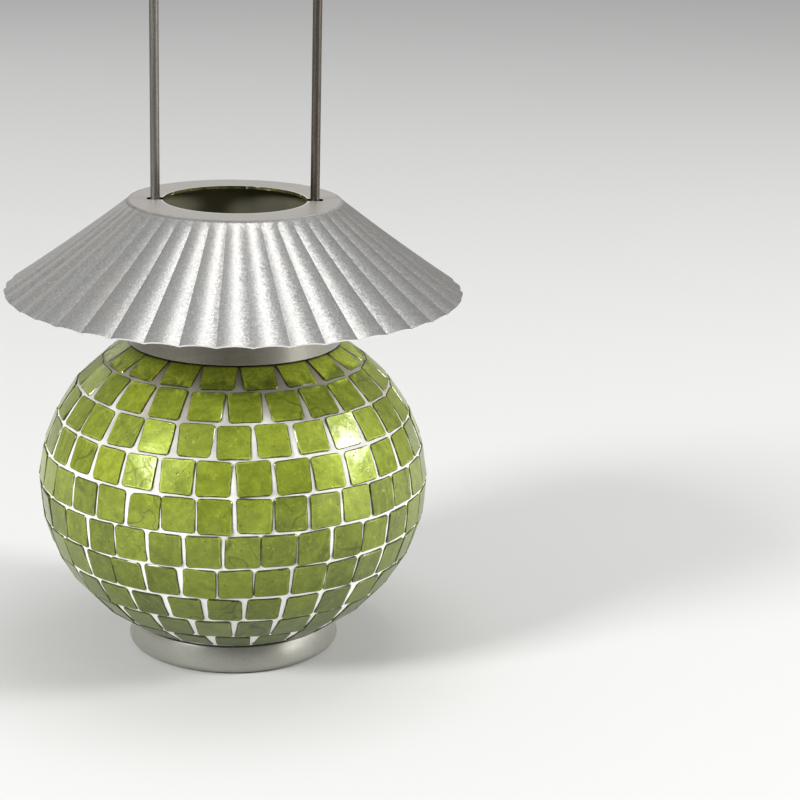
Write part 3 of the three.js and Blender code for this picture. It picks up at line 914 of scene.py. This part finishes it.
class LANTERN_OT_shade(bpy.types.Operator):
    """Adds the scalloped shade"""

    bl_idname = "lantern.shade"
    bl_label = "Shade"

    def execute(self, context):
        settings = context.scene.lantern_metal
        flat_edge = COLLAR_HIGH.x - 0.3 * MM
        opening = CUP_HIGH.x + 2.84 * MM
        top = SHADE_HIGH.z
        skirt = Skirt(settings, flat_edge)
        outline = [
            *[(opening + (flat_edge - opening) * share, top) for share in (0, 0.4, 0.8)],
            (flat_edge, top),
            (flat_edge + 0.15 * MM, top - skirt.step * 0.85),
            *[skirt.point(share) for share in skirt.shares],
        ]
        piece = spun("shade", outline, columns=settings.scallops * skirt.columns)
        edit(piece)
        skirt.scallop(piece)
        bpy.ops.object.mode_set(mode="OBJECT")
        # The sheet thins towards its rim
        near_rim = skirt.rim - 2 * MM
        body = piece.vertex_groups.new(name="body")
        body.add([v.index for v in piece.data.vertices if off_axis(v.co) < near_rim], 1.0, "REPLACE")
        modify(
            piece, "SOLIDIFY", thickness=settings.sheet, offset=-1.0, use_even_offset=True,
            vertex_group="body", thickness_vertex_group=0.6,
        )
        self.cut_slots(settings, piece)
        smooth(piece, degrees=22)
        past_opening = opening + 0.1 * MM
        slot_end = flat_edge - MM
        squarely, downward, upright = 0.6, -0.2, 0.4
        # Faces for the rim's painted glint, the painted reflection in the opening's edge and the painted
        # shadow on the slots' cut walls
        mark_faces(piece, "rim_glint", lambda f: (
            off_axis(f.center) > near_rim and outwardness(f) > squarely and f.normal.z < downward
        ))
        mark_faces(piece, "opening_reflection", lambda f: (
            off_axis(f.center) < past_opening and outwardness(f) < -squarely
        ))
        mark_faces(piece, "cut", lambda f: (
            past_opening < off_axis(f.center) < slot_end and abs(f.normal.z) < upright
        ))
        paint = silver_paint_finish(settings, opening, skirt.top_radius)
        finish_piece(piece, paint, "shade", "silver_paint", "shade")
        return {"FINISHED"}

    @staticmethod
    def cut_slots(settings, piece):
        """Cuts both slots for the bail's legs with one long block across the opening."""
        leg = LEG_INNER_SIDE + settings.wire_radius
        width = 2 * (settings.wire_radius + WIRE_PLAY)
        end = leg + settings.wire_radius + 1.1 * MM
        start()
        bpy.ops.mesh.primitive_cube_add(
            size=1, location=(0, 0, SHADE_HIGH.z), scale=(2 * end, width, 6 * MM)
        )
        cutter = named("cutter")
        edit(cutter)
        pick(cutter, "EDGE", lambda e: is_upright(e, MM))
        bpy.ops.mesh.bevel(offset=0.9 * MM, segments=4, affect="EDGES")
        bpy.ops.object.mode_set(mode="OBJECT")
        modify(piece, "BOOLEAN", object=cutter, operation="DIFFERENCE", solver="EXACT")
        bpy.data.objects.remove(cutter)


# ---- Bail ----


def wire_finish(settings):
    """Drawn wire with fine streaks along it, with painted light on one leg and painted shade, darker and
    browner, on the other.
    """
    finish = Finish("drawn_wire", Metallic=1.0)
    streaks = finish.noise(2200, 3, 0.6, place=finish.scaled((1, 1, 0.02)))
    spots = finish.noise(1500, 3, 0.75)
    tint = finish.blend(finish.spread(streaks, 0.3, 0.7), settings.wire_color, (0.20, 0.19, 0.17))
    tint = finish.blend(finish.spread(spots, 0.45, 0.65, 0, 0.7), tint, (0.085, 0.075, 0.062))
    # Painted light on the left leg and painted shade on the right one
    along = finish.sides(finish.place)["X"]
    shaded_leg = finish.spread(along, -20 * MM, 20 * MM)
    tint = finish.blend(shaded_leg, tint, (0.66, 0.61, 0.575), "MULTIPLY")
    tint = finish.blend(finish.spread(along, -20 * MM, 10 * MM, 0.18, 0), tint, (0.26, 0.25, 0.235))
    rough = finish.spread(streaks, 0.3, 0.7, 0.38, 0.48)
    return finish.plug(Base_Color=tint, Roughness=rough, Normal=finish.bump(streaks, 0.03 * MM, 0.7))


class LANTERN_OT_bail(bpy.types.Operator):
    """Adds the wire bail, an arch on two legs whose ends are bent out through the collar"""

    bl_idname = "lantern.bail"
    bl_label = "Bail"

    def execute(self, context):
        settings = context.scene.lantern_metal
        wire = settings.wire_radius
        leg = LEG_INNER_SIDE + wire
        bend = 3 * MM
        bend_centre = BAIL_PIVOT + bend
        arch_centre = BAIL_HIGH.z - wire - leg
        start()
        bpy.ops.mesh.primitive_circle_add(
            vertices=20, radius=wire, fill_type="NGON",
            location=(BAIL_HIGH.x, 0, BAIL_PIVOT), rotation=(0, math.pi / 2, 0),
        )
        bpy.ops.object.mode_set(mode="EDIT")
        self.pull((leg + bend - BAIL_HIGH.x, 0, 0))
        self.turn(-90, (leg + bend, 0, bend_centre), steps=8)
        self.pull((0, 0, arch_centre - bend_centre))
        self.turn(180, (0, 0, arch_centre), steps=40)
        self.pull((0, 0, bend_centre - arch_centre))
        self.turn(-90, (-leg - bend, 0, bend_centre), steps=8)
        self.pull((leg + bend - BAIL_HIGH.x, 0, 0))
        bpy.ops.mesh.select_all(action="SELECT")
        bpy.ops.mesh.remove_doubles(threshold=WELD)
        bpy.ops.mesh.normals_make_consistent(inside=False)
        bpy.ops.object.mode_set(mode="OBJECT")
        piece = named("bail_wire")
        smooth(piece, degrees=50)
        finish_piece(piece, wire_finish(settings), "bail", "steel_wire", "bail")
        return {"FINISHED"}

    @staticmethod
    def pull(step):
        bpy.ops.mesh.extrude_region_move(TRANSFORM_OT_translate={"value": step})

    @staticmethod
    def turn(degrees, centre, steps):
        bpy.ops.mesh.spin(steps=steps, angle=math.radians(degrees), center=centre, axis=(0, 1, 0))


# ---- Tealight ----


def foil_finish():
    finish = Finish("aluminium_foil", Metallic=1.0)
    dents = finish.noise(160, 3)
    tint = finish.blend(finish.noise(900, 2), (0.42, 0.43, 0.435), (0.56, 0.565, 0.57))
    rough = finish.spread(dents, 0.3, 0.7, 0.2, 0.34)
    return finish.plug(Base_Color=tint, Roughness=rough, Normal=finish.bump(dents, 0.2 * MM, 0.4))


def wax_finish():
    finish = Finish("wax", Subsurface_Weight=0.4, Subsurface_Radius=(0.004, 0.003, 0.002), IOR=1.44)
    cloud = finish.noise(120, 3)
    tint = finish.blend(cloud, (0.52, 0.50, 0.44), (0.60, 0.58, 0.53))
    rough = finish.spread(cloud, 0.3, 0.7, 0.35, 0.5)
    return finish.plug(Base_Color=tint, Roughness=rough, Normal=finish.bump(cloud, 0.1 * MM, 0.5))


def cotton_finish():
    finish = Finish("waxed_cotton", Roughness=0.85)
    twist = finish.noise(1500, 2, place=finish.scaled((1, 1, 2.5)))
    tint = finish.blend(twist, (0.78, 0.73, 0.62), (0.93, 0.90, 0.83))
    return finish.plug(Base_Color=tint, Normal=finish.bump(twist, 0.1 * MM, 0.8))


class LANTERN_OT_tealight(bpy.types.Operator):
    """Adds the tealight: cup, wax, wick and tab"""

    bl_idname = "lantern.tealight"
    bl_label = "Tealight"

    def execute(self, context):
        foil = foil_finish()
        self.cup(foil)
        self.tab(foil)
        self.wax()
        self.wick()
        return {"FINISHED"}

    def cup(self, foil):
        base, top, radius = CUP_LOW.z, CUP_HIGH.z, CUP_HIGH.x
        wall, bead, fold = 0.35 * MM, 0.4 * MM, MM
        fold_centre = radius - 1.4 * MM
        outline = [
            (0, base),
            *arc(fold_centre, base + fold, fold, -90, 0, steps=5),
            (radius - 0.3 * MM, top - 2 * bead),
            *arc(radius - bead, top - bead, bead, -20, 160, steps=8),
            (radius - 2 * bead - 0.05 * MM, top - 2 * bead),
            *arc(fold_centre, base + fold, fold - wall, 0, -90, steps=5),
            (0, base + wall),
        ]
        piece = spun("candle_cup", outline, columns=96)
        smooth(piece, degrees=35)
        finish_piece(piece, foil, "tealight", "aluminium_foil", "tealight_cup")

    def tab(self, foil):
        base, radius = TAB_LOW.z, TAB_HIGH.x
        boss, hole, rounding = 1.6 * MM, 1.0 * MM, 0.3 * MM
        outline = [
            (0, base),
            (radius, base),
            (radius, base + TAB_SHEET),
            (boss + rounding, base + TAB_SHEET),
            *arc(boss - rounding, TAB_HIGH.z - rounding, rounding, 0, 90, steps=3),
            (hole, TAB_HIGH.z),
            (hole, base + TAB_SHEET),
            (0, base + TAB_SHEET),
        ]
        piece = spun("wick_tab", outline, columns=48)
        smooth(piece, degrees=35)
        finish_piece(piece, foil, "tealight", "aluminium_foil", "tealight_wick_tab")

    def wax(self):
        low, top, radius = WAX_LOW.z, WAX_HIGH.z, WAX_HIGH.x
        gap, corner = 0.3 * MM, 1.2 * MM
        wick_hole, boss_hole = 1.0 * MM, 1.9 * MM
        tab_radius = TAB_HIGH.x + gap
        tab_top = TAB_LOW.z + TAB_SHEET + gap
        # The top is a shallow dish that climbs at the cup's wall and round the wick
        dish = [
            (radius, top),
            (radius - 0.3 * MM, top),
            (radius - 1.2 * MM, top - 0.35 * MM),
            (radius * 0.6, top - 0.5 * MM),
            (2.6 * MM, top - 0.45 * MM),
            (1.3 * MM, top - 0.1 * MM),
            (wick_hole, top - 0.2 * MM),
        ]
        outline = [
            (tab_radius, low),
            (radius - corner, low),
            *arc(radius - corner, low + corner, corner, -60, 0, steps=3),
            *dish,
            (wick_hole, TAB_HIGH.z + gap),
            (boss_hole, TAB_HIGH.z + gap),
            (boss_hole, tab_top),
            (tab_radius, tab_top),
        ]
        piece = spun("candle_wax", [*outline, outline[0]], columns=96)
        smooth(piece, degrees=35)
        finish_piece(piece, wax_finish(), "tealight", "wax", "tealight_wax")

    def wick(self):
        start()
        radius, lay, pinch_share = 0.62 * MM, 3.2 * MM, 0.22
        height = WICK_HIGH.z - WICK_LOW.z
        bpy.ops.mesh.primitive_cylinder_add(
            vertices=16, radius=radius, depth=height, location=(0, 0, WICK_LOW.z + height / 2)
        )
        piece = named("candle_wick")
        edit(piece)
        pick(piece, "EDGE", lambda e: is_upright(e, height / 2))
        bpy.ops.mesh.subdivide(number_cuts=40)
        bpy.ops.object.mode_set(mode="OBJECT")
        # Two-ply twist, pinched in as it winds up
        for vertex in piece.data.vertices:
            climb = (vertex.co.z - WICK_LOW.z) / lay * TURN
            around = math.atan2(vertex.co.y, vertex.co.x)
            pinch = 1 - pinch_share * math.cos(around - climb) ** 2
            vertex.co.x *= pinch
            vertex.co.y *= pinch
        smooth(piece, degrees=60)
        finish_piece(piece, cotton_finish(), "tealight", "cotton", "tealight_wick")


# ---- Stage ----


# Name, place, height on the axis that it aims at, width, height and watts
LIGHTS = (
    ("overhead", (0.115, 0.11, 1.72), 0.12, 0.65, 0.65, 7.9),
    ("left_box", (-1.38, -0.99, 1.11), 0.07, 0.50, 0.54, 39),
    ("right_box", (1.76, -0.26, 0.89), 0.07, 0.50, 0.54, 32),
    ("low_card", (1.25, -0.55, 0.15), 0.09, 0.39, 0.20, 2.3),
    ("back_card", (-0.72, 1.40, 0.60), 0.11, 0.70, 0.60, 0.8),
)


class LANTERN_OT_stage(bpy.types.Operator):
    """Adds the floor, the lights and the camera"""

    bl_idname = "lantern.stage"
    bl_label = "Stage"

    def execute(self, context):
        settings = context.scene.lantern_stage
        context.scene.view_settings.view_transform = "Standard"
        self.floor(settings)
        self.world(context)
        for light in LIGHTS:
            self.softbox(*light)
        self.camera(context, settings)
        return {"FINISHED"}

    @staticmethod
    def floor(settings):
        start()
        side, gap, gain = 12, 0.2 * MM, 1.03
        bpy.ops.mesh.primitive_plane_add(size=side, location=(0, 0, -gap))
        floor = named("floor")
        finish = Finish("pale_floor", Roughness=0.7)
        paler = tuple(value * gain for value in settings.floor_color)
        tint = finish.blend(finish.noise(3, 2), settings.floor_color, paler)
        floor.data.materials.append(finish.plug(Base_Color=tint))

    @staticmethod
    def world(context):
        world = bpy.data.worlds.new("studio")
        world.use_nodes = True
        context.scene.world = world
        nodes = Nodes(world.node_tree)
        way = nodes.sides(nodes.add("TexCoord").outputs["Generated"])
        # The studio is darker on the camera's side and near the floor
        fade = nodes.spread(way["Y"], -1.0, 0.3, 0.24, 0.55, "SMOOTHSTEP")
        rise = nodes.spread(way["Z"], 0.3, 1.0, 0.66, 1.42, "SMOOTHSTEP")
        # Its light is warm near the floor and cool overhead
        cool = nodes.spread(way["Z"], 0.2, 0.8, 0.0, 1.0, "SMOOTHSTEP")
        tint = nodes.blend(cool, (1.0, 0.94, 0.88), (0.92, 0.95, 0.97))
        background = nodes.tree.nodes["Background"]
        nodes.tree.links.new(nodes.times(fade, rise), background.inputs["Strength"])
        nodes.tree.links.new(tint, background.inputs["Color"])

    @staticmethod
    def softbox(name, place, aim_height, width, height, watts):
        start()
        way = Vector((0, 0, aim_height)) - Vector(place)
        turn = way.to_track_quat("-Z", "Y").to_euler()
        bpy.ops.object.light_add(type="AREA", location=place, rotation=turn)
        lamp = bpy.context.object
        lamp.name = lamp.data.name = name
        lamp.data.shape = "RECTANGLE"
        lamp.data.size = width
        lamp.data.size_y = height
        lamp.data.energy = watts

    @staticmethod
    def camera(context, settings):
        start()
        full_frame = 36
        bpy.ops.object.camera_add(location=settings.camera_place)
        camera = bpy.context.object
        camera.name = camera.data.name = "camera"
        aim = Vector(settings.camera_aim).normalized()
        level = aim.to_track_quat("-Z", "Y").to_matrix().to_4x4()
        roll = Matrix.Rotation(settings.camera_roll, 4, "Z")
        camera.matrix_world = Matrix.Translation(settings.camera_place) @ level @ roll
        camera.data.lens = settings.lens
        camera.data.sensor_width = full_frame
        context.scene.camera = camera


# ---- Add-on ----


OPERATORS = (
    LANTERN_OT_tiles,
    LANTERN_OT_grout,
    LANTERN_OT_bowl,
    LANTERN_OT_foot,
    LANTERN_OT_collar,
    LANTERN_OT_shade,
    LANTERN_OT_bail,
    LANTERN_OT_tealight,
    LANTERN_OT_stage,
)


class LANTERN_PT_pieces(bpy.types.Panel):
    """Lists the lantern's pieces"""

    bl_idname = "LANTERN_PT_pieces"
    bl_label = "Mosaic Lantern"
    bl_space_type = "VIEW_3D"
    bl_region_type = "UI"
    bl_category = "Lantern"

    def draw(self, context):
        for operator in OPERATORS:
            self.layout.operator(operator.bl_idname)


CLASSES = (MosaicSettings, MetalSettings, StageSettings, *OPERATORS, LANTERN_PT_pieces)


def register():
    for cls in CLASSES:
        bpy.utils.register_class(cls)
    bpy.types.Scene.lantern_mosaic = bpy.props.PointerProperty(type=MosaicSettings)
    bpy.types.Scene.lantern_metal = bpy.props.PointerProperty(type=MetalSettings)
    bpy.types.Scene.lantern_stage = bpy.props.PointerProperty(type=StageSettings)


def unregister():
    del bpy.types.Scene.lantern_stage
    del bpy.types.Scene.lantern_metal
    del bpy.types.Scene.lantern_mosaic
    for cls in reversed(CLASSES):
        bpy.utils.unregister_class(cls)


def main():
    register()
    for operator in OPERATORS:
        module, name = operator.bl_idname.split(".")
        getattr(getattr(bpy.ops, module), name)()


if __name__ == "__main__":
    main()
